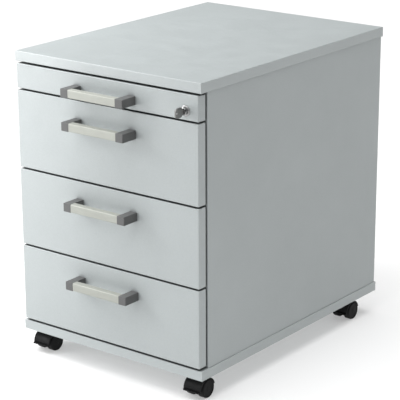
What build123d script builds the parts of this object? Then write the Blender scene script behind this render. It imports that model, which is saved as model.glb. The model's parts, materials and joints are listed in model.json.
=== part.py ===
from build123d import *
import math
import os

# Mobile drawer pedestal: board carcass, one shallow and three deep steel-box drawers on ball runners,
# a central lock, and four twin-wheel casters. Millimetres. The origin is on the floor under the middle
# of the whole object, +X is to the right of someone facing the drawers, +Y runs to the back, +Z is up.

# ---- whole object
WIDTH = 428.0                 # across the top panel
DEPTH = 580.0                 # front edge to back edge of the top panel
HEIGHT = 590.0                # floor to top surface
UNDER = 45.0                  # floor to underside of the bottom panel
FRONT_PROUD = 2.0             # drawer fronts stand this far before the top panel's edge
HANDLE_OUT = 36.0             # handle projection from the drawer front

# ---- boards
BOARD = 19.0
EDGE = 2.0                    # plastic edging on every cut edge of the boards
EDGE_ROUND = 1.5
SIDE_INSET = 2.0              # side panels sit this far inside the top panel's sides and back
BACK_BOARD = 16.0
FRONT_GAP = 4.0               # between a drawer front and the side panels' front edges

# ---- drawer fronts, from the top: height of each and the gaps round them
FRONT_HEIGHTS = [46.0, 147.5, 147.5, 147.5]
FRONT_WIDTH = 420.0
GAP_TOP = 3.5
GAP_BETWEEN = 3.5
HANDLE_BELOW_TOP = [28.5, 40.5, 40.5, 40.5]

# ---- handles
POST_SPACING = 126.0
POST_WIDE = 17.0
POST_HIGH = 16.0
POST_ROUND = 1.0
POST_END_ROUND = 0.8
BAR_HIGH = 15.5
BAR_DEEP = 14.0
BAR_SET_BACK = 0.4
BAR_ROUND = 2.0
BAR_TENON = 3.0               # how far the bar runs into each post

# ---- steel drawer boxes and ball runners
RUNNER_SPACE = 12.7           # between a drawer box and a side panel
STEEL = 1.2
HEM_WIDE = 3.0
HEM_HIGH = 5.0
BOX_ABOVE_FRONT = [6.0, 12.0, 12.0, 12.0]
BOX_HEIGHTS = [39.0, 115.0, 115.0, 115.0]
BOX_DEPTHS = [420.0, 500.0, 500.0, 500.0]
RUNNER_LENGTHS = [400.0, 500.0, 500.0, 500.0]
RUNNER_HALF = [9.5, 17.5, 17.5, 17.5]
RUNNER_ABOVE_FRONT = [38.0, 62.0, 62.0, 62.0]
BALL_GAP = 3.8                # between the nested flanges of a runner
BALL = 1.5                    # ball radius
CAGE_LENGTH = 110.0
CAGE_SHEET = 0.8
RUNNER_SET_BACK = 4.0         # cabinet members start this far behind the side panels' front edges

# ---- central lock
LOCK_FROM_EDGE = 28.0         # lock axis to the right edge of the front
LOCK_BELOW_TOP = 29.5
ROSETTE = 9.5
ROSETTE_PROUD = 2.0
ROSETTE_CHAMFER = 1.0
LOCK_BODY = 8.0
LOCK_BODY_LONG = 33.0         # behind the front face
PLUG = 6.0
PLUG_HEAD = 6.8               # radius of the plug's head in front of the rosette
PLUG_HEAD_LONG = 5.0
RUNNING = 0.05                # radial running clearance
CAM_PIN = 2.0
CAM_THROW = 7.0               # cam pin's distance from the lock axis
CAM_RIM = 0.6                 # cam disc outside its pin
LOCK_TURN = 90.0
KEY_BOW_LONG = 19.5
KEY_BOW_HIGH = 18.0
KEY_BOW_ROUND = 6.5
KEY_HOLE = 2.0
KEY_HOLE_FROM_END = 4.4
KEY_NECK = 1.5                # between bow and shoulder
KEY_NECK_HIGH = 10.0
KEY_THICK = 2.2
KEY_HIGH = 7.0
KEY_BLADE = 22.0
KEY_CUTS = [1.0, 2.0, 1.5, 1.0, 2.0]
KEY_CUT_STEP = 3.0
KEY_CUT_WIDE = 1.4
GROOVE_WIDE = 20.0
GROOVE_DEEP = 9.0
GROOVE_FROM_FRONT = 20.0      # side panel's front edge to the groove
LOCK_BAR_WIDE = 14.0
LOCK_BAR_THICK = 5.5
STUD = 2.5                    # radius of the bar's locking studs
STUD_ABOVE_FRONT = 95.0

# ---- casters
WHEEL = 17.5                  # wheel radius
WHEEL_WIDE = 13.5
WHEEL_GAP = 14.0              # between the two wheels of a caster
TRAIL = 15.5                  # swivel axis to wheel axle
SWIVEL_FROM_SIDE = 31.0
SWIVEL_FROM_ENDS = 49.0
AXLE = 2.0
KINGPIN = 3.5
HOOD_HALF = 19.0              # half the width of hood and pedal
HOOD_IN = 18.5
HOOD_OUT = 20.5
PLATE = 38.0
PLATE_THICK = 2.0
PLATE_HOLES = 28.0            # spacing of the screws, both ways
SCREW = 1.75
PEDAL_TURN = 8.0              # how far a brake pedal goes down
PEDAL_ANGLE = 14.0            # pedal pivot, measured at the axle from straight up towards the front
PEDAL_PIVOT = 20.2            # pedal pivot's distance from the axle
PEDAL_PIN = 1.25
APRON_START = 24.0            # angles of the apron round the axle
APRON_END = 104.0
LIP_OUT = 4.5
LIP_TOP = -2.9                # toe lip's top, from the axle
LIP_THICK = 2.1
WEB_BOTTOM = -4.5             # underside of the web between the wheels, from the axle

# ---- worked out from the above
X_SIDE = WIDTH / 2 - SIDE_INSET                 # outer face of a side panel
X_IN = X_SIDE - BOARD                           # inner face of a side panel
X_BOX = X_IN - RUNNER_SPACE                     # outer face of a drawer box
Y_POST = -(DEPTH + FRONT_PROUD + HANDLE_OUT) / 2
Y_FACE = Y_POST + HANDLE_OUT                    # front face of the drawer fronts
Y_TOP = Y_FACE + FRONT_PROUD                    # front edge of the top panel
Y_REAR = Y_TOP + DEPTH
Y_BOX = Y_FACE + BOARD                          # back face of the drawer fronts
Y_SIDE = Y_BOX + FRONT_GAP                      # front edge of the side panels
Y_SIDE_REAR = Y_REAR - SIDE_INSET
Z_FLOOR = UNDER + BOARD                         # top face of the bottom panel
Z_CEILING = HEIGHT - BOARD                      # underside of the top panel
DOWEL_YS = [-200.0, 30.0, 262.0]
CONNECTOR_YS = [-150.0, 200.0]
DOWEL = 4.0
CAM_BODY = 7.5
CAM_DEEP = 12.5
CAM_FROM_EDGE = 34.0
BOLT = 3.5


def front_levels():
    """Bottom and top height of each drawer front, from the top drawer down."""
    levels = []
    top = Z_CEILING - GAP_TOP
    for height in FRONT_HEIGHTS:
        levels.append((top - height, top))
        top -= height + GAP_BETWEEN
    return levels


LEVELS = front_levels()
LOCK_X = FRONT_WIDTH / 2 - LOCK_FROM_EDGE
LOCK_Z = LEVELS[0][1] - LOCK_BELOW_TOP
THROW = CAM_THROW * math.sin(math.radians(LOCK_TURN / 2))
PIN_Z = LOCK_Z - THROW
PLUG_END = Y_FACE - ROSETTE_PROUD - PLUG_HEAD_LONG
KEY_SHOULDER = PLUG_END - 0.4
GROOVE_Y = Y_SIDE + GROOVE_FROM_FRONT
GROOVE_MID = GROOVE_Y + GROOVE_WIDE / 2


def block(x, y, z):
    """Box between two limits along each axis."""
    centre = Pos((x[0] + x[1]) / 2, (y[0] + y[1]) / 2, (z[0] + z[1]) / 2)
    return centre * Box(abs(x[1] - x[0]), abs(y[1] - y[0]), abs(z[1] - z[0]))


def rod_x(radius, x, y, z):
    """Cylinder along X between two limits."""
    return Pos((x[0] + x[1]) / 2, y, z) * Rot(0, 90, 0) * Cylinder(radius, abs(x[1] - x[0]))


def rod_y(radius, x, y, z):
    """Cylinder along Y between two limits."""
    return Pos(x, (y[0] + y[1]) / 2, z) * Rot(90, 0, 0) * Cylinder(radius, abs(y[1] - y[0]))


def rod_z(radius, x, y, z):
    """Cylinder along Z between two limits."""
    return Pos(x, y, (z[0] + z[1]) / 2) * Cylinder(radius, abs(z[1] - z[0]))


def save(name, pieces):
    """Write one node; a list is a group of separate solids."""
    solids = []
    for piece in pieces if isinstance(pieces, list) else [pieces]:
        solids.extend(piece.solids())
    shape = solids[0] if len(solids) == 1 else Compound(children=solids)
    export_step(shape, f"parts/{name}.step")


# ------------------------------------------------------------------------------------------- carcass
def horizontal_board(z):
    """Core of the top or bottom panel, without its edging."""
    half = WIDTH / 2 - EDGE
    return block((-half, half), (Y_TOP + EDGE, Y_REAR - EDGE), z)


def side_board(side):
    """Core of a side panel, without its edging."""
    return block((side * X_IN, side * X_SIDE), (Y_SIDE + EDGE, Y_SIDE_REAR - EDGE), (Z_FLOOR, Z_CEILING))


def rounded_strip(x, y, z, outward):
    """Edging strip whose two long outer edges are rounded; outward is the axis and sign it faces."""
    strip = block(x, y, z)
    axis, sign = outward
    face = strip.faces().sort_by(axis)[-1 if sign > 0 else 0]
    longest = max(edge.length for edge in face.edges())
    long_edges = [edge for edge in face.edges() if edge.length > longest - 0.01]
    return fillet(long_edges, EDGE_ROUND)


def ring_of_edging(z):
    """Four strips round the top or bottom panel."""
    half = WIDTH / 2
    strips = [
        rounded_strip((-half, half), (Y_TOP, Y_TOP + EDGE), z, (Axis.Y, -1)),
        rounded_strip((-half, half), (Y_REAR - EDGE, Y_REAR), z, (Axis.Y, 1)),
    ]
    for side in (-1, 1):
        x = (side * (half - EDGE), side * half)
        strips.append(rounded_strip(x, (Y_TOP + EDGE, Y_REAR - EDGE), z, (Axis.X, side)))
    return strips


def carcass_edging():
    """Edging of the top, bottom and side panels."""
    strips = ring_of_edging((Z_CEILING, HEIGHT)) + ring_of_edging((UNDER, Z_FLOOR))
    for side in (-1, 1):
        x = (side * X_IN, side * X_SIDE)
        height = (Z_FLOOR, Z_CEILING)
        strips.append(rounded_strip(x, (Y_SIDE, Y_SIDE + EDGE), height, (Axis.Y, -1)))
        strips.append(rounded_strip(x, (Y_SIDE_REAR - EDGE, Y_SIDE_REAR), height, (Axis.Y, 1)))
    return strips


def corner_dowels():
    """Dowels between the side panels and the two horizontal panels, and into the back panel."""
    x_mid = X_IN + BOARD / 2
    back_y = Y_SIDE_REAR - SIDE_INSET - BACK_BOARD / 2
    dowels = []
    for side in (-1, 1):
        for y in DOWEL_YS:
            dowels.append(rod_z(DOWEL, side * x_mid, y, (Z_CEILING - 20, Z_CEILING + 12)))
            dowels.append(rod_z(DOWEL, side * x_mid, y, (Z_FLOOR - 12, Z_FLOOR + 20)))
        for z in (Z_FLOOR + 86, Z_FLOOR + 256, Z_FLOOR + 426):
            dowels.append(rod_x(DOWEL - 1, (side * (X_IN - 20), side * (X_IN + 9)), back_y, z))
    return dowels


def connectors():
    """Eccentric connectors: a round cam body in the side panel and a bolt into the next panel."""
    x_mid = X_IN + BOARD / 2
    cams = []
    bolts = []
    cam_spaces = []
    for side in (-1, 1):
        for y in CONNECTOR_YS:
            for edge, up in ((Z_CEILING, 1), (Z_FLOOR, -1)):
                z = edge - up * CAM_FROM_EDGE
                bolt = rod_z(BOLT, side * x_mid, y, (z + up * (CAM_BODY - 4), edge + up * 11))
                cam = rod_x(CAM_BODY, (side * X_IN, side * (X_IN + CAM_DEEP)), y, z)
                slot = block((side * X_IN - 1, side * X_IN + 1), (y - 5, y + 5), (z - 1, z + 1))
                cams.append(cam - bolt - slot)
                bolts.append(bolt)
                cam_spaces.append(cam)
    return cams, bolts, cam_spaces


def lock_groove():
    """Space cut in the right side panel for the locking bar."""
    return block((X_IN - 1, X_IN + GROOVE_DEEP), (GROOVE_Y, GROOVE_Y + GROOVE_WIDE), (Z_FLOOR, Z_CEILING))


def save_carcass():
    dowels = corner_dowels()
    cams, bolts, cam_spaces = connectors()
    runner_screw_list = runner_screws()
    caster_screw_list = caster_screws()
    holes = dowels + bolts
    top = horizontal_board((Z_CEILING, HEIGHT)) - holes
    bottom = horizontal_board((UNDER, Z_FLOOR)) - holes - caster_screw_list
    left = side_board(-1) - holes - cam_spaces - runner_screw_list
    right = side_board(1) - holes - cam_spaces - runner_screw_list - lock_groove()
    back_y = (Y_SIDE_REAR - SIDE_INSET - BACK_BOARD, Y_SIDE_REAR - SIDE_INSET)
    back = block((-X_IN, X_IN), back_y, (Z_FLOOR, Z_CEILING)) - dowels
    save("top_panel", top)
    save("bottom_panel", bottom)
    save("left_side_panel", left)
    save("right_side_panel", right)
    save("back_panel", back)
    save("carcass_edging", carcass_edging())
    save("carcass_dowels", dowels)
    save("carcass_connectors", cams + bolts)
    save("cabinet_runners", cabinet_runners())
    save("runner_screws", runner_screw_list)
    save("lock_bar_guides", lock_bar_guides())
    save("caster_plates", caster_plates())
    save("caster_screws", caster_screw_list)


# ------------------------------------------------------------------------------------------- runners
def runner_height(index):
    return LEVELS[index][0] + RUNNER_ABOVE_FRONT[index]


def runner_screw_ys(index):
    length = RUNNER_LENGTHS[index]
    start = Y_SIDE + RUNNER_SET_BACK
    return [start + 58, start + length / 2, start + length - 22]


def runner_screws():
    """Countersunk screws that hold the cabinet members; their heads lie flush in the web."""
    screws = []
    for index in range(4):
        z = runner_height(index)
        for side in (-1, 1):
            for y in runner_screw_ys(index):
                head = rod_x(3.0, (side * (X_IN - STEEL), side * X_IN), y, z)
                shank = rod_x(SCREW, (side * X_IN, side * (X_IN + 13)), y, z)
                screws.append(head + shank)
    return screws


def cabinet_runners():
    """Outer members of the runners, screwed to the side panels, open towards the drawer."""
    members = []
    for index in range(4):
        z = runner_height(index)
        half = RUNNER_HALF[index]
        y = (Y_SIDE + RUNNER_SET_BACK, Y_SIDE + RUNNER_SET_BACK + RUNNER_LENGTHS[index])
        for side in (-1, 1):
            member = block((side * X_IN, side * (X_IN - STEEL)), y, (z - half, z + half))
            for up in (-1, 1):
                flange_z = (z + up * (half - STEEL), z + up * half)
                lip_z = (z + up * (half - STEEL - 1), z + up * half)
                member += block((side * X_IN, side * (X_IN - 10.5)), y, flange_z)
                member += block((side * (X_IN - 9.3), side * (X_IN - 10.5)), y, lip_z)
            for screw_y in runner_screw_ys(index):
                member -= rod_x(3.0, (side * (X_IN - STEEL), side * X_IN), screw_y, z)
            members.append(member)
    return members


def drawer_runners(index):
    """Inner members of one drawer's runners, fixed to its box, open towards the side panels."""
    z = runner_height(index)
    half = RUNNER_HALF[index] - STEEL - BALL_GAP
    y = (Y_SIDE + STEEL, Y_SIDE + STEEL + RUNNER_LENGTHS[index])
    members = []
    for side in (-1, 1):
        member = block((side * X_BOX, side * (X_BOX + STEEL)), y, (z - half, z + half))
        for up in (-1, 1):
            flange_z = (z + up * (half - STEEL), z + up * half)
            member += block((side * X_BOX, side * (X_BOX + 9.2)), y, flange_z)
        members.append(member)
    return members


def ball_cages(index):
    """Retainers with their balls, one between the two members of each of a drawer's runners."""
    z = runner_height(index)
    rise = RUNNER_HALF[index] - STEEL - BALL_GAP / 2
    middle = Y_SIDE + RUNNER_SET_BACK + RUNNER_LENGTHS[index] / 2
    y = (middle - CAGE_LENGTH / 2, middle + CAGE_LENGTH / 2)
    x_web = X_IN - STEEL - 1.6
    cages = []
    for side in (-1, 1):
        edge = rise + CAGE_SHEET / 2
        cage = block((side * x_web, side * (x_web + CAGE_SHEET)), y, (z - edge, z + edge))
        for up in (-1, 1):
            arm_z = (z + up * (rise - CAGE_SHEET / 2), z + up * edge)
            cage += block((side * (x_web - 6.2), side * (x_web + CAGE_SHEET)), y, arm_z)
            for step in range(6):
                ball_y = y[0] + 10 + step * (CAGE_LENGTH - 20) / 5
                cage += Pos(side * (x_web - 3.7), ball_y, z + up * rise) * Sphere(BALL)
        cages.append(cage)
    return cages


# ------------------------------------------------------------------------------------------- drawers
def drawer_front(index):
    low, high = LEVELS[index]
    half = FRONT_WIDTH / 2
    front = block((-half, half), (Y_FACE, Y_BOX), (low, high))
    front = fillet(front.edges().filter_by(Axis.Y), EDGE_ROUND)
    front = fillet(front.faces().sort_by(Axis.Y)[0].edges(), EDGE_ROUND)
    if index == 0:
        front -= rod_y(LOCK_BODY, LOCK_X, (Y_FACE, Y_BOX), LOCK_Z)
    return front


def handle_height(index):
    return LEVELS[index][1] - HANDLE_BELOW_TOP[index]


def handle_bar(index):
    """Bar with rounded long edges, let into both posts."""
    half = (POST_SPACING - POST_WIDE) / 2 + BAR_TENON
    z = handle_height(index)
    y = Y_POST + BAR_SET_BACK
    bar = block((-half, half), (y, y + BAR_DEEP), (z - BAR_HIGH / 2, z + BAR_HIGH / 2))
    return fillet(bar.edges().filter_by(Axis.X), BAR_ROUND)


def handle_posts(index):
    z = handle_height(index)
    bar = handle_bar(index)
    posts = []
    for side in (-1, 1):
        x = side * POST_SPACING / 2
        wide = (x - POST_WIDE / 2, x + POST_WIDE / 2)
        post = block(wide, (Y_POST, Y_FACE), (z - POST_HIGH / 2, z + POST_HIGH / 2))
        post = fillet(post.edges().filter_by(Axis.Y), POST_ROUND)
        post = fillet(post.faces().sort_by(Axis.Y)[0].edges(), POST_END_ROUND)
        posts.append(post - bar)
    return posts


def box_levels(index):
    low = LEVELS[index][0] + BOX_ABOVE_FRONT[index]
    return low, low + BOX_HEIGHTS[index]


def hemmed_wall(side, y, z):
    """Side wall of a drawer box with its top edge folded inwards."""
    wall = block((side * X_BOX, side * (X_BOX - STEEL)), y, z)
    hem_y = (y[0] + STEEL, y[1] - HEM_WIDE)
    return wall + block((side * X_BOX, side * (X_BOX - HEM_WIDE)), hem_y, (z[1] - HEM_HIGH, z[1]))


def divider_slots(index, y):
    """Row of upright slots in both side walls that take sheet-metal dividers."""
    low = box_levels(index)[0]
    slots = []
    for step in range(12):
        slot_y = y[0] + 80 + step * 34
        slots.append(block((-X_BOX - 1, X_BOX + 1), (slot_y - 1, slot_y + 1), (low + 78, low + 100)))
    return slots


def catch(index):
    """Angle on the right wall that the locking bar's stud stands in front of when the bar is up."""
    if index == 0:
        low = PIN_Z + 6.45
        front = GROOVE_MID - 3.5
        height = 7.5
    else:
        low = LEVELS[index][0] + STUD_ABOVE_FRONT + STUD + 1.5
        front = GROOVE_MID + STUD + 1
        height = 8.0
    base = block((X_BOX, X_BOX + 1.5), (front, front + 14), (low, low + height))
    return base + block((X_BOX, X_BOX + 9.7), (front, front + 1.5), (low, low + height))


def drawer_box(index):
    """Steel box as four walls and a floor, with the catch for the central lock."""
    z = box_levels(index)
    y = (Y_BOX, Y_BOX + BOX_DEPTHS[index])
    inner = X_BOX - STEEL
    walls = [hemmed_wall(-1, y, z), hemmed_wall(1, y, z)]
    back = block((-inner, inner), (y[1] - STEEL, y[1]), z)
    back += block((-inner, inner), (y[1] - HEM_WIDE, y[1]), (z[1] - HEM_HIGH, z[1]))
    front = block((-inner, inner), (y[0], y[0] + STEEL), z)
    floor = block((-inner, inner), (y[0] + STEEL, y[1] - STEEL), (z[0], z[0] + STEEL))
    if index == 0:
        lock_space = block((LOCK_X - 11, LOCK_X), (y[0] - 1, y[0] + 21), (z[0] - 1, LOCK_Z + 11.5))
        walls[1] -= lock_space
        front -= lock_space
        floor -= lock_space
    else:
        slots = divider_slots(index, y)
        walls = [wall - slots for wall in walls]
    return walls + [back, front, floor, catch(index)]


def pencil_tray():
    """Moulded insert with a pen channel in front and three compartments behind."""
    base = box_levels(0)[0] + STEEL
    half = 166.0
    y = (Y_BOX + 4, Y_BOX + 178)
    tray = block((-half, half), y, (base, base + 24))
    tray = fillet(tray.edges().filter_by(Axis.Z), 6.0)
    for pocket in tray_pockets(half, y):
        hollow = block(pocket[0], pocket[1], (base + 2, base + 30))
        hollow = fillet(hollow.edges().filter_by(Axis.Z), 5.0)
        hollow = fillet(hollow.faces().sort_by(Axis.Z)[0].edges(), 3.0)
        tray -= hollow
    return tray


def tray_pockets(half, y):
    """X and Y limits of the tray's four hollows."""
    wall = 3.0
    split = y[0] + 66
    pockets = [((-half + wall, half - wall), (y[0] + wall, split - wall / 2))]
    third = (2 * half - 4 * wall) / 3
    for step in range(3):
        left = -half + wall + step * (third + wall)
        pockets.append(((left, left + third), (split + wall / 2, y[1] - wall)))
    return pockets


def save_drawers():
    for index in range(4):
        name = f"drawer_{index + 1}"
        save(name + "_front", drawer_front(index))
        save(name + "_handle_posts", handle_posts(index))
        save(name + "_handle_bar", handle_bar(index))
        save(name + "_box", drawer_box(index))
        save(name + "_runners", drawer_runners(index))
        save(name + "_ball_cages", ball_cages(index))
    save("pencil_tray", pencil_tray())


# ------------------------------------------------------------------------------------------- lock
def key_blade_space(margin):
    """Flat upright blade, or the keyway round it when margin is over 0."""
    half_x = KEY_THICK / 2 + margin
    half_z = KEY_HIGH / 2 + margin
    y = (KEY_SHOULDER, KEY_SHOULDER + KEY_BLADE + margin)
    return block((LOCK_X - half_x, LOCK_X + half_x), y, (LOCK_Z - half_z, LOCK_Z + half_z))


def lock_housing():
    """Rosette and threaded body, with the nut that clamps it behind the drawer front."""
    proud = Y_FACE - ROSETTE_PROUD
    rosette = rod_y(ROSETTE, LOCK_X, (proud, Y_FACE), LOCK_Z)
    rosette = chamfer(rosette.faces().sort_by(Axis.Y)[0].edges(), ROSETTE_CHAMFER)
    body = rod_y(LOCK_BODY, LOCK_X, (Y_FACE, Y_FACE + LOCK_BODY_LONG), LOCK_Z)
    bore = rod_y(PLUG + RUNNING, LOCK_X, (proud - 1, Y_FACE + LOCK_BODY_LONG + 1), LOCK_Z)
    housing = rosette + body - bore
    behind = Plane(origin=(LOCK_X, Y_BOX, LOCK_Z), x_dir=(1, 0, 0), z_dir=(0, 1, 0))
    nut = extrude(behind * RegularPolygon(10.0, 6), 5.0) - rod_y(LOCK_BODY, LOCK_X, (Y_BOX - 1, Y_BOX + 6), LOCK_Z)
    return [housing, nut]


def lock_plug():
    """Plug with head, keyway, cam disc and cam pin, in the unlocked position."""
    back = Y_FACE + LOCK_BODY_LONG
    plug = rod_y(PLUG_HEAD, LOCK_X, (PLUG_END, PLUG_END + PLUG_HEAD_LONG - 4 * RUNNING), LOCK_Z)
    plug = chamfer(plug.faces().sort_by(Axis.Y)[0].edges(), ROSETTE_CHAMFER)
    plug += rod_y(PLUG, LOCK_X, (PLUG_END + 1, back + 4), LOCK_Z)
    plug += rod_y(CAM_THROW + CAM_PIN + CAM_RIM, LOCK_X, (back + 1.5, back + 4), LOCK_Z)
    pin_x = LOCK_X + CAM_THROW * math.cos(math.radians(LOCK_TURN / 2))
    plug += rod_y(CAM_PIN, pin_x, (back + 4, GROOVE_MID - 4.4), PIN_Z)
    return plug - key_blade_space(0.15)


def key():
    """Key with a rounded bow, pushed fully in, its blade upright."""
    bow_y = (KEY_SHOULDER - KEY_NECK - KEY_BOW_LONG, KEY_SHOULDER - KEY_NECK)
    thick = (LOCK_X - KEY_THICK / 2, LOCK_X + KEY_THICK / 2)
    bow = block(thick, bow_y, (LOCK_Z - KEY_BOW_HIGH / 2, LOCK_Z + KEY_BOW_HIGH / 2))
    bow = fillet(bow.edges().filter_by(Axis.X), KEY_BOW_ROUND)
    neck_z = (LOCK_Z - KEY_NECK_HIGH / 2, LOCK_Z + KEY_NECK_HIGH / 2)
    neck = block(thick, (bow_y[1] - 1, KEY_SHOULDER), neck_z)
    blade = key_blade_space(0)
    for step, depth in enumerate(KEY_CUTS):
        cut_y = KEY_SHOULDER + 6 + step * KEY_CUT_STEP
        top = LOCK_Z + KEY_HIGH / 2
        blade -= block((LOCK_X - 2, LOCK_X + 2), (cut_y, cut_y + KEY_CUT_WIDE), (top - depth, top + 1))
    hole = rod_x(KEY_HOLE, (LOCK_X - 2, LOCK_X + 2), bow_y[0] + KEY_HOLE_FROM_END, LOCK_Z)
    return bow + neck + blade - hole


def lock_bar():
    """Locking bar in its groove, with one stud for each deep drawer and a slotted angle for the cam pin."""
    x_face = X_IN + GROOVE_DEEP - 1.5 - LOCK_BAR_THICK
    y = (GROOVE_MID - LOCK_BAR_WIDE / 2, GROOVE_MID + LOCK_BAR_WIDE / 2)
    bar = block((x_face, x_face + LOCK_BAR_THICK), y, (Z_FLOOR + 11, PIN_Z + 15))
    studs = []
    for index in range(1, 4):
        z = LEVELS[index][0] + STUD_ABOVE_FRONT
        studs.append(rod_x(STUD, (X_BOX + 3.7, x_face), GROOVE_MID, z))
    z = (PIN_Z - 5.1, PIN_Z + 5.1)
    leg = block((x_face - 1.5, x_face), y, z)
    plate = block((X_BOX + 2.1, x_face - 1.5), (y[0] + 0.5, y[0] + 2), z)
    slot_half = CAM_PIN + 0.6
    slot = block((LOCK_X + 2.4, LOCK_X + 9.6), (y[0], y[0] + 3), (PIN_Z - slot_half, PIN_Z + slot_half))
    return [bar] + studs + [leg + plate - slot]


def lock_bar_guides():
    """Plastic guides pressed into the groove; the bar slides through them."""
    x_face = X_IN + GROOVE_DEEP - 1.5 - LOCK_BAR_THICK
    half = LOCK_BAR_WIDE / 2 + 0.3
    guides = []
    for z in (Z_FLOOR + 18, Z_FLOOR + 168, Z_FLOOR + 318, Z_FLOOR + 436):
        outer = block((X_IN + 0.2, X_IN + GROOVE_DEEP), (GROOVE_Y, GROOVE_Y + GROOVE_WIDE), (z, z + 16))
        inner = block((x_face - 0.3, x_face + LOCK_BAR_THICK + 0.3), (GROOVE_MID - half, GROOVE_MID + half),
                      (z - 1, z + 17))
        guides.append(outer - inner)
    return guides


def save_lock():
    save("lock_housing", lock_housing())
    save("lock_plug", lock_plug())
    save("key", key())
    save("lock_bar", lock_bar())


# ------------------------------------------------------------------------------------------- casters
def caster_places():
    """Name, swivel axis and brake of each caster."""
    x = WIDTH / 2 - SWIVEL_FROM_SIDE
    front = Y_TOP + SWIVEL_FROM_ENDS
    rear = Y_REAR - SWIVEL_FROM_ENDS
    return [
        ("front_left", -x, front, True),
        ("front_right", x, front, True),
        ("rear_left", -x, rear, False),
        ("rear_right", x, rear, False),
    ]


def caster_plates():
    """Mounting plates under the bottom panel, each with its riveted kingpin."""
    plates = []
    for _, x, y, _ in caster_places():
        half = PLATE / 2
        plate = block((x - half, x + half), (y - half, y + half), (UNDER - PLATE_THICK, UNDER))
        plate = fillet(plate.edges().filter_by(Axis.Z), 4.0)
        kingpin = rod_z(KINGPIN, x, y, (WHEEL - 1.5, UNDER))
        plate -= kingpin
        for hole_x, hole_y in screw_places(x, y):
            plate -= rod_z(SCREW + 0.4, hole_x, hole_y, (UNDER - PLATE_THICK, UNDER))
        plates.extend([plate, kingpin])
    return plates


def screw_places(x, y):
    half = PLATE_HOLES / 2
    return [(x + i * half, y + j * half) for i in (-1, 1) for j in (-1, 1)]


def caster_screws():
    screws = []
    for _, x, y, _ in caster_places():
        for screw_x, screw_y in screw_places(x, y):
            below = UNDER - PLATE_THICK
            head = rod_z(3.4, screw_x, screw_y, (below - 2, below))
            head = fillet(head.faces().sort_by(Axis.Z)[0].edges(), 1.2)
            screws.append(head + rod_z(SCREW, screw_x, screw_y, (below, below + 16)))
    return screws


def polar(radius, angle):
    """Point in the caster's side view: angle from straight up, growing towards the front (-Y)."""
    turn = math.radians(angle)
    return (-radius * math.sin(turn), radius * math.cos(turn))


def arc_shell(inner, outer, start, end, half_width):
    """Curved shell round the axle, between two radii and two angles."""
    middle = (start + end) / 2
    outline = Line(polar(inner, start), polar(outer, start))
    outline += ThreePointArc(polar(outer, start), polar(outer, middle), polar(outer, end))
    outline += Line(polar(outer, end), polar(inner, end))
    outline += ThreePointArc(polar(inner, end), polar(inner, middle), polar(inner, start))
    face = Plane(origin=(0, 0, 0), x_dir=(0, 1, 0), z_dir=(1, 0, 0)) * make_face(outline)
    return extrude(face, half_width, both=True)


def about_pivot(shape, angle):
    """Turn a caster piece about the pedal's pivot; plus presses the pedal down."""
    y, z = polar(PEDAL_PIVOT, PEDAL_ANGLE)
    return Pos(0, y, z) * Rot(angle, 0, 0) * Pos(0, -y, -z) * shape


def apron(half_width):
    """Curved front of the hood or pedal, leaning out from the wheels, with a toe lip."""
    shell = arc_shell(WHEEL + 0.4, HOOD_OUT + 0.1, APRON_START, APRON_END, half_width)
    lip_y = (-HOOD_OUT - LIP_OUT, -HOOD_OUT + 1)
    lip = block((-half_width + 1, half_width - 1), lip_y, (LIP_TOP - LIP_THICK, LIP_TOP))
    lip = fillet(lip.edges().filter_by(Axis.Z).sort_by(Axis.Y)[:2], 3.0)
    return about_pivot(shell + lip, -PEDAL_TURN)


def wheel_wells():
    """Space of the two wheels, with room all round."""
    return [rod_x(HOOD_IN, (side * (WHEEL_GAP / 2 - 0.3), side * 30), 0, 0) for side in (-1, 1)]


def caster_housing(braked):
    """Hood, web and kingpin boss in one moulding, about the axle; the swivel axis is behind it."""
    web = rod_x(HOOD_IN + 0.5, (-3, 3), 0, 0) - block((-4, 4), (-30, 30), (-30, WEB_BOTTOM))
    hood_end = 21 if braked else 31
    housing = web + arc_shell(HOOD_IN - 1, HOOD_OUT, -78, hood_end, HOOD_HALF)
    top = UNDER - PLATE_THICK - WHEEL
    housing += rod_z(5.0, 0, TRAIL, (WEB_BOTTOM, top - 0.4))
    housing += rod_z(8.5, 0, TRAIL, (11, top - 0.4))
    pivot_y, pivot_z = polar(PEDAL_PIVOT, PEDAL_ANGLE)
    if braked:
        housing -= rod_x(2.7, (-9.4, 9.4), pivot_y, pivot_z)
        housing -= arc_shell(HOOD_IN - 2, HOOD_OUT + 1, PEDAL_ANGLE, 40, 9.4)
        housing -= arc_shell(WHEEL - 0.4, HOOD_OUT + 1, hood_end, 120, 5.5)
        for side in (-1, 1):
            housing += rod_x(2.2, (side * 9.4, side * HOOD_HALF), pivot_y, pivot_z)
    else:
        housing += apron(HOOD_HALF)
    for well in wheel_wells():
        housing -= well
    if braked:
        housing -= rod_x(PEDAL_PIN, (-HOOD_HALF - 1, HOOD_HALF + 1), pivot_y, pivot_z)
    housing -= rod_z(KINGPIN + RUNNING, 0, TRAIL, (-3, top))
    return housing - rod_x(AXLE, (-4, 4), 0, 0)


def caster_pins(braked):
    """Wheel axle and, on a braked caster, the pedal's pin."""
    pins = [rod_x(AXLE, (-WHEEL, WHEEL), 0, 0)]
    if braked:
        pivot_y, pivot_z = polar(PEDAL_PIVOT, PEDAL_ANGLE)
        pins.append(rod_x(PEDAL_PIN, (-HOOD_HALF + 0.5, HOOD_HALF - 0.5), pivot_y, pivot_z))
    return pins


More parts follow.
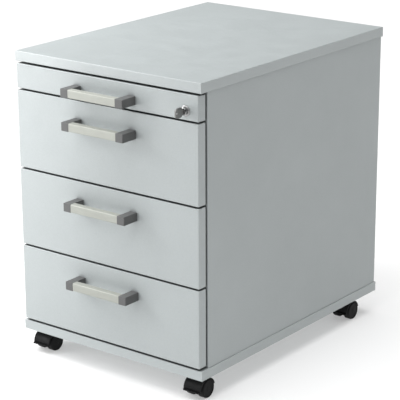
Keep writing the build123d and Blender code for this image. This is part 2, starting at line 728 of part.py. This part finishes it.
def brake_pedal():
    """Toe pedal on the front of a braked caster, released."""
    pivot_y, pivot_z = polar(PEDAL_PIVOT, PEDAL_ANGLE)
    arm = arc_shell(WHEEL + 1.4, HOOD_OUT + 0.1, PEDAL_ANGLE, 30, 9.0)
    arm += rod_x(2.2, (-9.0, 9.0), pivot_y, pivot_z)
    pedal = apron(HOOD_HALF) + about_pivot(arm, -PEDAL_TURN)
    return pedal - rod_x(PEDAL_PIN + RUNNING, (-20, 20), pivot_y, pivot_z)


def wheel(side):
    """Hollow-backed wheel with a hub, its plain face outwards."""
    inner = WHEEL_GAP / 2
    outer = inner + WHEEL_WIDE
    recess = outer - 3.2
    outline = Polyline(
        (inner, AXLE + RUNNING),
        (inner, 4.6),
        (recess, 4.6),
        (recess, 14.6),
        (inner, 15.2),
        (inner, WHEEL - 1.2),
        (inner + 1.2, WHEEL),
        (outer - 2.4, WHEEL),
        (outer - 0.6, WHEEL - 0.8),
        (outer, WHEEL - 2.4),
        (outer - 0.9, WHEEL - 3.4),
        (outer - 0.6, 5.0),
        (outer - 0.2, 4.0),
        (outer - 0.2, 0),
        (outer - 2.2, 0),
        (outer - 2.2, AXLE + RUNNING),
        close=True,
    )
    turned = revolve(make_face(outline), Axis.X, 360)
    return turned if side > 0 else mirror(turned, about=Plane.YZ)


def save_casters():
    for name, x, y, braked in caster_places():
        place = Pos(x, y - TRAIL, WHEEL)
        save(f"{name}_caster_housing", place * caster_housing(braked))
        save(f"{name}_caster_pins", [place * pin for pin in caster_pins(braked)])
        save(f"{name}_wheel_left", place * wheel(-1))
        save(f"{name}_wheel_right", place * wheel(1))
        if braked:
            save(f"{name}_brake_pedal", place * brake_pedal())


os.makedirs("parts", exist_ok=True)
save_carcass()
save_drawers()
save_lock()
save_casters()
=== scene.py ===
import json
import math

import bmesh
import bpy
from mathutils import Matrix, Vector


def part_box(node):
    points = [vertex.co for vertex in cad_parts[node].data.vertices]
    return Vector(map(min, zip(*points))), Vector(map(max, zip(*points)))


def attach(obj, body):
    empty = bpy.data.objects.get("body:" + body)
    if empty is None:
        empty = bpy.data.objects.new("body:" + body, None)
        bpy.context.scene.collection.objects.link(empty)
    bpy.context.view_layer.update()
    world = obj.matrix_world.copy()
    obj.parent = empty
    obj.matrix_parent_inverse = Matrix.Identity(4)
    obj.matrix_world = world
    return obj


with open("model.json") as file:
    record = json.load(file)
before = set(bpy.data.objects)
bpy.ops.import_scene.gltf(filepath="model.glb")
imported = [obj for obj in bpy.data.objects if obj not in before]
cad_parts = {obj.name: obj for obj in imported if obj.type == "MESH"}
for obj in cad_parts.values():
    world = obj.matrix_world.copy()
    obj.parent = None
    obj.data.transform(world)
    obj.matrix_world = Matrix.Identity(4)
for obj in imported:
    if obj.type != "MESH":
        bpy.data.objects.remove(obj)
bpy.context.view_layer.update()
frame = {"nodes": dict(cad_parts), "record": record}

record = frame["record"]

MM = 0.001
EDGING = 2.0 * MM             # thickness of the plastic edging on the boards
SEAM = 0.25 * MM              # glue line between board and edging
HANDLE_SCREW_X = 64 * MM      # half the spacing of a handle's two screws
FIXING_MARGIN = 9 * MM        # fixing screws from a box's lower and upper edge
FIXING_INSET = 30 * MM        # fixing screws from a box's side walls
BOX_WALL = 1.2 * MM           # sheet of a drawer box's front wall
BUFFER_RADIUS = 4 * MM
BUFFER_BELOW_TOP = 14 * MM    # buffer's centre below its front's upper edge
BUFFER_INWARD = 3 * MM        # buffer's centre inward of the middle of the panel's edge
# painted shade: boards and edging are darkened in narrow gaps and corners through ambient occlusion in their
# colour
GAP_SHADE_REACH = 12 * MM       # how far into the open the painted shade of a narrow gap darkens the board
# painted shade: how dark the painted shade gets in the narrowest gaps
GAP_SHADE_DARKEST = 0.16
DRAWERS = (1, 2, 3, 4)


CAMERA_AZIMUTH, CAMERA_ELEVATION, CAMERA_ROLL = 37.613, 17.602, -0.21   # degrees
CAMERA_PLACE = (1.8921, -2.4528, 1.2580)
CAMERA_LENS = 151.46
AMBIENT = 0.10                # world as a light; the camera itself sees it white
FLOOR_HALF = 15.0


# ------------------------------------------------------------------ camera, light and floor
def make_camera():
    azimuth, elevation, roll = (math.radians(a) for a in (CAMERA_AZIMUTH, CAMERA_ELEVATION, CAMERA_ROLL))
    back = Vector((math.sin(azimuth) * math.cos(elevation), -math.cos(azimuth) * math.cos(elevation),
                   math.sin(elevation)))
    right = (-back).cross(Vector((0, 0, 1))).normalized()
    up = right.cross(-back)
    tilted_right = math.cos(roll) * right + math.sin(roll) * up
    tilted_up = math.cos(roll) * up - math.sin(roll) * right
    data = bpy.data.cameras.new("camera")
    data.sensor_width = 36.0
    data.lens = CAMERA_LENS
    data.clip_end = 60.0
    camera = bpy.data.objects.new("camera", data)
    bpy.context.scene.collection.objects.link(camera)
    turn = Matrix((tilted_right, tilted_up, back)).transposed().to_4x4()
    camera.matrix_world = Matrix.Translation(CAMERA_PLACE) @ turn
    bpy.context.scene.camera = camera


def put_light(name, data, place, direction):
    light = bpy.data.objects.new(name, data)
    bpy.context.scene.collection.objects.link(light)
    light.location = place
    light.rotation_euler = Vector(direction).to_track_quat("-Z", "Y").to_euler()


def area_light(name, place, target, size, watts):
    data = bpy.data.lights.new(name, "AREA")
    data.shape = "RECTANGLE"
    data.size, data.size_y = size
    data.energy = watts
    put_light(name, data, place, Vector(target) - Vector(place))


def sky_light(name, direction, strength):
    """Very soft sun, as from a large diffuser; strength is the brightness of a white surface facing it."""
    data = bpy.data.lights.new(name, "SUN")
    data.angle = math.radians(50)
    data.energy = strength * math.pi
    put_light(name, data, (0, 0, 2), direction)


def make_light():
    scene = bpy.context.scene
    scene.view_settings.view_transform = "Standard"
    world = bpy.data.worlds.new("studio")
    world.use_nodes = True
    background = world.node_tree.nodes["Background"]
    background.inputs["Color"].default_value = (1, 1, 1, 1)
    seen = add(world.node_tree, "ShaderNodeLightPath").outputs["Is Camera Ray"]
    strength = spread(world.node_tree, seen, AMBIENT, 1.0, 0.0, 1.0)
    world.node_tree.links.new(strength, background.inputs["Strength"])
    scene.world = world
    sky_light("overhead", (0, 0, -1), 0.747)
    sky_light("from_front", (0.15, 0.8, -1), 0.257)
    sky_light("from_back_right", (-0.7, -0.5, -1), 0.167)
    area_light("low_key", (-0.9, -1.0, 0.6), (-0.2, -0.27, 0.3), (0.5, 1.0), 8.5)
    area_light("high_key", (-0.9, -0.55, 1.2), (-0.2, -0.1, 0.5), (0.6, 0.9), 12.5)


def make_floor():
    mesh = bpy.data.meshes.new("floor")
    half = FLOOR_HALF
    corners = [(-half, -half, 0), (half, -half, 0), (half, half, 0), (-half, half, 0)]
    mesh.from_pydata(corners, [], [(0, 1, 2, 3)])
    floor = bpy.data.objects.new("floor", mesh)
    bpy.context.scene.collection.objects.link(floor)
    floor.data.materials.append(floor_material())


# ------------------------------------------------------------------ node-building shorthand
def start_material(name, color, roughness, metallic=0.0):
    """New material with these values on its Principled shader; returns material, tree, shader."""
    made = bpy.data.materials.new(name)
    made.use_nodes = True
    shader = made.node_tree.nodes["Principled BSDF"]
    shader.inputs["Base Color"].default_value = (*color, 1)
    shader.inputs["Roughness"].default_value = roughness
    shader.inputs["Metallic"].default_value = metallic
    return made, made.node_tree, shader


def add(tree, kind, settings=None, **inputs):
    """New node; a socket among the inputs is linked, anything else is its value."""
    node = tree.nodes.new(kind)
    for key, value in (settings or {}).items():
        setattr(node, key, value)
    for key, value in inputs.items():
        join(tree, value, node.inputs[key.replace("_", " ")])
    return node


def join(tree, value, socket):
    if isinstance(value, bpy.types.NodeSocket):
        tree.links.new(value, socket)
    else:
        socket.default_value = value


def math_node(tree, operation, first, second=0.0):
    node = tree.nodes.new("ShaderNodeMath")
    node.operation = operation
    join(tree, first, node.inputs[0])
    join(tree, second, node.inputs[1])
    return node.outputs[0]


def place_in_object(tree, stretch=(1, 1, 1)):
    """Rest position in metres, stretched along the axes."""
    where = add(tree, "ShaderNodeTexCoord").outputs["Object"]
    if stretch == (1, 1, 1):
        return where
    return add(tree, "ShaderNodeMapping", Vector=where, Scale=stretch).outputs[0]


def noise(tree, where, scale, detail=3.0):
    return add(tree, "ShaderNodeTexNoise", Vector=where, Scale=scale, Detail=detail).outputs[0]


def spread(tree, value, low, high, start=0.3, end=0.7):
    """Maps a pattern from start..end to low..high."""
    node = add(tree, "ShaderNodeMapRange", Value=value, From_Min=start, From_Max=end, To_Min=low, To_Max=high)
    return node.outputs[0]


def shade(tree, shader, color, *factors):
    """Base colour times each factor, which are grey patterns near 1."""
    product = factors[0]
    for factor in factors[1:]:
        product = math_node(tree, "MULTIPLY", product, factor)
    node = add(tree, "ShaderNodeVectorMath", {"operation": "SCALE"}, Scale=product)
    node.inputs[0].default_value = color
    tree.links.new(node.outputs[0], shader.inputs["Base Color"])


def painted_gap_shade(tree, reach, darkest):
    """Painted shade: a factor that falls to darkest in narrow gaps and corners within reach, and is 1 in the
    open.
    """
    node = add(tree, "ShaderNodeAmbientOcclusion", {"samples": 8}, Distance=reach)
    return spread(tree, node.outputs["AO"], darkest, 1.0, 0.12, 0.8)


def bump(tree, shader, height, distance, strength=1.0):
    node = add(tree, "ShaderNodeBump", Height=height, Distance=distance, Strength=strength)
    tree.links.new(node.outputs[0], shader.inputs["Normal"])


# ------------------------------------------------------------------ materials
def floor_material():
    """Pale floor that glows a little, as a lit acrylic table does."""
    color = (0.60, 0.60, 0.60)
    made, tree, shader = start_material("floor_acrylic", color, 0.8)
    shader.inputs["Specular IOR Level"].default_value = 0.1
    shader.inputs["Emission Color"].default_value = (1, 1, 1, 1)
    shader.inputs["Emission Strength"].default_value = 0.35
    where = place_in_object(tree)
    shade(tree, shader, color, spread(tree, noise(tree, where, 3.0), 0.99, 1.01))
    bump(tree, shader, noise(tree, where, 250.0), 0.0002, 0.3)
    return made


BOARD_COLOR = (0.398, 0.430, 0.433)


def board_material(name, edging_mask=None):
    """Melamine-faced board: even light grey with a fine pearl grain and faint cloudiness, and painted shade
    in its gaps and corners.
    """
    made, tree, shader = start_material(name, BOARD_COLOR, 0.45)
    where = place_in_object(tree)
    clouds = spread(tree, noise(tree, where, 7.0, 5.0), 0.975, 1.02)
    flecks = spread(tree, noise(tree, where, 420.0, 2.0), 0.97, 1.025)
    # painted shade: the board's colour darkens in gaps and corners
    factors = [clouds, flecks, painted_gap_shade(tree, GAP_SHADE_REACH, GAP_SHADE_DARKEST)]
    if edging_mask:
        inside_band, seam = edging_mask(tree, where)
        factors.append(spread(tree, inside_band, 1.0, 1.035, 0.0, 1.0))
        factors.append(spread(tree, seam, 1.0, 0.72, 0.0, 1.0))
    shade(tree, shader, BOARD_COLOR, *factors)
    rubbed = spread(tree, noise(tree, where, 26.0, 6.0), 0.4, 0.52)
    tree.links.new(rubbed, shader.inputs["Roughness"])
    grain = math_node(tree, "ADD", noise(tree, where, 1500.0, 1.0), noise(tree, where, 380.0, 2.0))
    bump(tree, shader, grain, 0.00008, 0.5)
    return made


def front_mask(low, high):
    """Edging band and glue line round a drawer front whose corners are low and high."""
    def mask(tree, where):
        split = add(tree, "ShaderNodeSeparateXYZ", Vector=where)
        gaps = []
        for axis, a, b in (("X", low.x, high.x), ("Z", low.z, high.z)):
            middle = (a + b) / 2
            off = math_node(tree, "ABSOLUTE", math_node(tree, "SUBTRACT", split.outputs[axis], middle))
            gaps.append(math_node(tree, "SUBTRACT", (b - a) / 2, off))
        nearest = math_node(tree, "MINIMUM", *gaps)
        inside_band = math_node(tree, "LESS_THAN", nearest, EDGING)
        from_line = math_node(tree, "ABSOLUTE", math_node(tree, "SUBTRACT", nearest, EDGING))
        seam = math_node(tree, "LESS_THAN", from_line, SEAM / 2)
        return inside_band, seam
    return mask


def edging_material():
    """Extruded plastic strip: a touch smoother than the board, with faint lines along it and painted shade in
    its gaps and corners.
    """
    color = tuple(1.03 * c for c in BOARD_COLOR)
    made, tree, shader = start_material("edging", color, 0.38)
    where = place_in_object(tree)
    lines = noise(tree, place_in_object(tree, (40, 40, 700)), 1.0, 2.0)
    clouds = spread(tree, noise(tree, where, 9.0), 0.985, 1.015)
    # painted shade: the edging's colour darkens in gaps and corners
    shade(tree, shader, color, spread(tree, lines, 0.98, 1.015), clouds,
          painted_gap_shade(tree, GAP_SHADE_REACH, GAP_SHADE_DARKEST))
    tree.links.new(spread(tree, noise(tree, where, 60.0, 4.0), 0.32, 0.44), shader.inputs["Roughness"])
    bump(tree, shader, noise(tree, where, 900.0), 0.00005, 0.4)
    return made


def painted_steel_material(name, color, roughness):
    """Powder coat with a fine orange peel."""
    made, tree, shader = start_material(name, color, roughness)
    where = place_in_object(tree)
    peel = noise(tree, where, 650.0, 1.5)
    clouds = spread(tree, noise(tree, where, 12.0, 4.0), 0.96, 1.03)
    shade(tree, shader, color, spread(tree, peel, 0.97, 1.03), clouds)
    rubbed = spread(tree, noise(tree, where, 90.0), roughness - 0.06, roughness + 0.08)
    tree.links.new(rubbed, shader.inputs["Roughness"])
    bump(tree, shader, peel, 0.0001, 0.45)
    return made


def brushed_material(name, color, roughness, stretch, metallic=1.0, specular=0.5):
    """Satin metal brushed along the axis whose stretch is small."""
    made, tree, shader = start_material(name, color, roughness, metallic)
    shader.inputs["Specular IOR Level"].default_value = specular
    strokes = noise(tree, place_in_object(tree, stretch), 1.0, 3.0)
    soft = noise(tree, place_in_object(tree), 45.0, 4.0)
    shade(tree, shader, color, spread(tree, strokes, 0.93, 1.05), spread(tree, soft, 0.96, 1.03))
    tree.links.new(spread(tree, strokes, roughness - 0.07, roughness + 0.1), shader.inputs["Roughness"])
    bump(tree, shader, strokes, 0.00004, 0.35)
    return made


def zinc_material(name, color, roughness, spangle):
    """Zinc plating: crystal patches of slightly different brightness, with fine rubbing."""
    made, tree, shader = start_material(name, color, roughness, 1.0)
    where = place_in_object(tree)
    cells = add(tree, "ShaderNodeTexVoronoi", Vector=where, Scale=spangle).outputs["Color"]
    patches = add(tree, "ShaderNodeSeparateColor", Color=cells).outputs[0]
    rub = noise(tree, where, 130.0, 5.0)
    shade(tree, shader, color, spread(tree, patches, 0.965, 1.03, 0.0, 1.0), spread(tree, rub, 0.95, 1.03))
    tree.links.new(spread(tree, rub, roughness - 0.04, roughness + 0.08), shader.inputs["Roughness"])
    bump(tree, shader, rub, 0.00001, 0.2)
    return made


def moulded_material(name, color, roughness, grain, specular=0.5):
    """Moulded plastic with a spark-eroded grain and dust-dulled patches."""
    made, tree, shader = start_material(name, color, roughness)
    shader.inputs["Specular IOR Level"].default_value = specular
    where = place_in_object(tree)
    fine = noise(tree, where, grain, 2.0)
    dull = noise(tree, where, 55.0, 5.0)
    shade(tree, shader, color, spread(tree, fine, 0.9, 1.1), spread(tree, dull, 0.88, 1.14))
    tree.links.new(spread(tree, dull, roughness - 0.08, roughness + 0.12), shader.inputs["Roughness"])
    bump(tree, shader, fine, 0.00012, 0.5)
    return made


def wood_material(name, color):
    """Beech with grain along the dowel's length."""
    made, tree, shader = start_material(name, color, 0.6)
    rings = noise(tree, place_in_object(tree, (30, 900, 30)), 1.0, 4.0)
    shade(tree, shader, color, spread(tree, rings, 0.75, 1.15))
    bump(tree, shader, rings, 0.0001, 0.6)
    return made


def make_materials():
    """One material for each slot of the record."""
    return {
        "board": board_material("board"),
        "edging": edging_material(),
        "dowel_wood": wood_material("dowel_wood", (0.62, 0.45, 0.26)),
        "zinc": zinc_material("zinc", (0.56, 0.57, 0.58), 0.34, 260.0),
        "runner_steel": zinc_material("runner_steel", (0.62, 0.63, 0.65), 0.36, 420.0),
        "guide_plastic": moulded_material("guide_plastic", (0.72, 0.72, 0.69), 0.5, 900.0),
        "ball_cage": brushed_material("ball_cage", (0.5, 0.5, 0.5), 0.3, (500, 40, 500)),
        "drawer_steel": painted_steel_material("drawer_steel", (0.36, 0.375, 0.38), 0.42),
        "handle_post": brushed_material("handle_post", (0.116, 0.117, 0.117), 0.45, (900, 60, 900), 0.0, 0.3),
        "handle_bar": brushed_material("handle_bar", (0.362, 0.372, 0.338), 0.5, (25, 1400, 1400), 0.2),
        "tray": moulded_material("tray", (0.045, 0.047, 0.05), 0.5, 700.0),
        "lock_metal": brushed_material("lock_metal", (0.40, 0.40, 0.40), 0.42, (350, 350, 350), 0.7),
        "key_metal": brushed_material("key_metal", (0.25, 0.25, 0.245), 0.34, (300, 60, 600), 0.8),
        "caster_black": moulded_material("caster_black", (0.009, 0.009, 0.0095), 0.5, 1100.0, 0.16),
        "wheel_black": moulded_material("wheel_black", (0.010, 0.010, 0.0105), 0.55, 800.0, 0.15),
    }


def paint_cad(materials):
    """Each CAD node takes its slot's material; a drawer front has its own band of edging."""
    slot_of = {part["node"]: part["material_slot"] for part in record["subparts"]}
    for name, node in frame["nodes"].items():
        chosen = materials[slot_of[name]]
        if name.startswith("drawer_") and name.endswith("_front"):
            chosen = board_material(name + "_board", front_mask(*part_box(name)))
        if name == "lock_plug":
            chosen = brushed_material("plug_nickel", (0.30, 0.30, 0.30), 0.12, (350, 350, 350), 1.0)
        node.data.materials.clear()
        node.data.materials.append(chosen)


# ------------------------------------------------------------------ small pieces
def lathe(name, profile, segments=32):
    """Mesh turned about Z from (radius, height) points; a first or last radius of 0 closes it."""
    mesh = bpy.data.meshes.new(name)
    shape = bmesh.new()
    rings = []
    for radius, height in profile:
        if radius == 0:
            rings.append([shape.verts.new((0, 0, height))])
            continue
        angles = [2 * math.pi * k / segments for k in range(segments)]
        rings.append([shape.verts.new((radius * math.cos(a), radius * math.sin(a), height)) for a in angles])
    for below, above in zip(rings, rings[1:]):
        for k in range(segments):
            following = (k + 1) % segments
            corners = [below[k % len(below)], below[following % len(below)],
                       above[following % len(above)], above[k % len(above)]]
            shape.faces.new(list(dict.fromkeys(corners)))
    bmesh.ops.recalc_face_normals(shape, faces=shape.faces)
    shape.to_mesh(mesh)
    shape.free()
    mesh.shade_smooth()
    return mesh


def stand(name, mesh, place, direction, body, slot, materials):
    """Object with this mesh, its Z axis along direction, riding on a body."""
    piece = bpy.data.objects.new(name, mesh)
    bpy.context.scene.collection.objects.link(piece)
    turn = Vector(direction).to_track_quat("Z", "Y").to_matrix().to_4x4()
    piece.matrix_world = Matrix.Translation(place) @ turn
    if not mesh.materials:
        mesh.materials.append(materials[slot])
    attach(piece, body)
    return piece


def cross_cutter(name, long, wide, bottom, top):
    """Cross-shaped solid that tapers downwards, for a screw's drive."""
    mesh = bpy.data.meshes.new(name)
    shape = bmesh.new()
    a, b = long / 2, wide / 2
    outline = [(a, -b), (a, b), (b, b), (b, a), (-b, a), (-b, b),
               (-a, b), (-a, -b), (-b, -b), (-b, -a), (b, -a), (b, -b)]
    low = [shape.verts.new((0.35 * x, 0.35 * y, bottom)) for x, y in outline]
    high = [shape.verts.new((x, y, top)) for x, y in outline]
    shape.faces.new(low[::-1])
    shape.faces.new(high)
    for k in range(len(outline)):
        following = (k + 1) % len(outline)
        shape.faces.new([low[k], low[following], high[following], high[k]])
    bmesh.ops.recalc_face_normals(shape, faces=shape.faces)
    shape.to_mesh(mesh)
    shape.free()
    return mesh


def screw_head_mesh(name, radius, height):
    """Pan head with a cross drive."""
    steps = [k * math.pi / 12 for k in range(7)]
    dome = [(radius * math.cos(a), height * (0.35 + 0.65 * math.sin(a))) for a in steps[:-1]]
    mesh = lathe(name, [(0, 0), (radius, 0)] + dome + [(0, height)])
    head = bpy.data.objects.new("head_being_cut", mesh)
    cutter_mesh = cross_cutter("cutter", 1.1 * radius, 0.3 * radius, 0.25 * height, 1.3 * height)
    cutter = bpy.data.objects.new("cutter", cutter_mesh)
    for made in (head, cutter):
        bpy.context.scene.collection.objects.link(made)
    cut = head.modifiers.new("cross", "BOOLEAN")
    cut.object = cutter
    cut.operation = "DIFFERENCE"
    cut.solver = "EXACT"
    bpy.context.view_layer.update()
    graph = bpy.context.evaluated_depsgraph_get()
    result = bpy.data.meshes.new_from_object(head.evaluated_get(graph))
    for made in (head, cutter):
        bpy.data.objects.remove(made)
    result.name = name
    result.shade_flat()
    return result


def make_drawer_screws(materials):
    """Screws through each box's front wall: two for the handle, four for the front (two beside the lock)."""
    handle_head = screw_head_mesh("handle_screw", 4.0 * MM, 2.4 * MM)
    fixing_head = screw_head_mesh("fixing_screw", 3.4 * MM, 2.0 * MM)
    for number in DRAWERS:
        box_low, box_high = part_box(f"drawer_{number}_box")
        post_low, post_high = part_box(f"drawer_{number}_handle_posts")
        wall_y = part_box(f"drawer_{number}_front")[1].y + BOX_WALL
        post_z = (post_low.z + post_high.z) / 2
        places = [("handle", handle_head, side * HANDLE_SCREW_X, post_z) for side in (-1, 1)]
        inner = -box_low.x - FIXING_INSET
        for side in (-1, 1):
            if number == 1 and side == 1:
                continue   # the lock's housing is here
            for z in (box_low.z + FIXING_MARGIN, box_high.z - FIXING_MARGIN):
                places.append(("front", fixing_head, side * inner, z))
        for count, (kind, mesh, x, z) in enumerate(places):
            name = f"drawer_{number}_{kind}_screw_{count + 1}"
            stand(name, mesh, (x, wall_y, z), (0, 1, 0), f"drawer_{number}", "runner_steel", materials)


def make_buffers(materials):
    """Soft buffers on the side panels' front edges that each drawer front closes against."""
    side_low, side_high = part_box("right_side_panel")
    panel_y = side_low.y - EDGING
    gap = panel_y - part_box("drawer_1_front")[1].y
    radius = BUFFER_RADIUS
    rim = [(radius, 0), (radius, 0.6 * gap), (0.8 * radius, 0.9 * gap)]
    mesh = lathe("buffer", [(0, 0)] + rim + [(0, 0.97 * gap)])
    x = (side_low.x + side_high.x) / 2 - BUFFER_INWARD
    for number in DRAWERS:
        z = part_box(f"drawer_{number}_front")[1].z - BUFFER_BELOW_TOP
        for side, word in ((-1, "left"), (1, "right")):
            stand(f"drawer_{number}_buffer_{word}", mesh, (side * x, panel_y, z), (0, -1, 0), "carcass",
                  "guide_plastic", materials)


make_camera()
make_light()
make_floor()
materials = make_materials()
paint_cad(materials)
make_drawer_screws(materials)
make_buffers(materials)
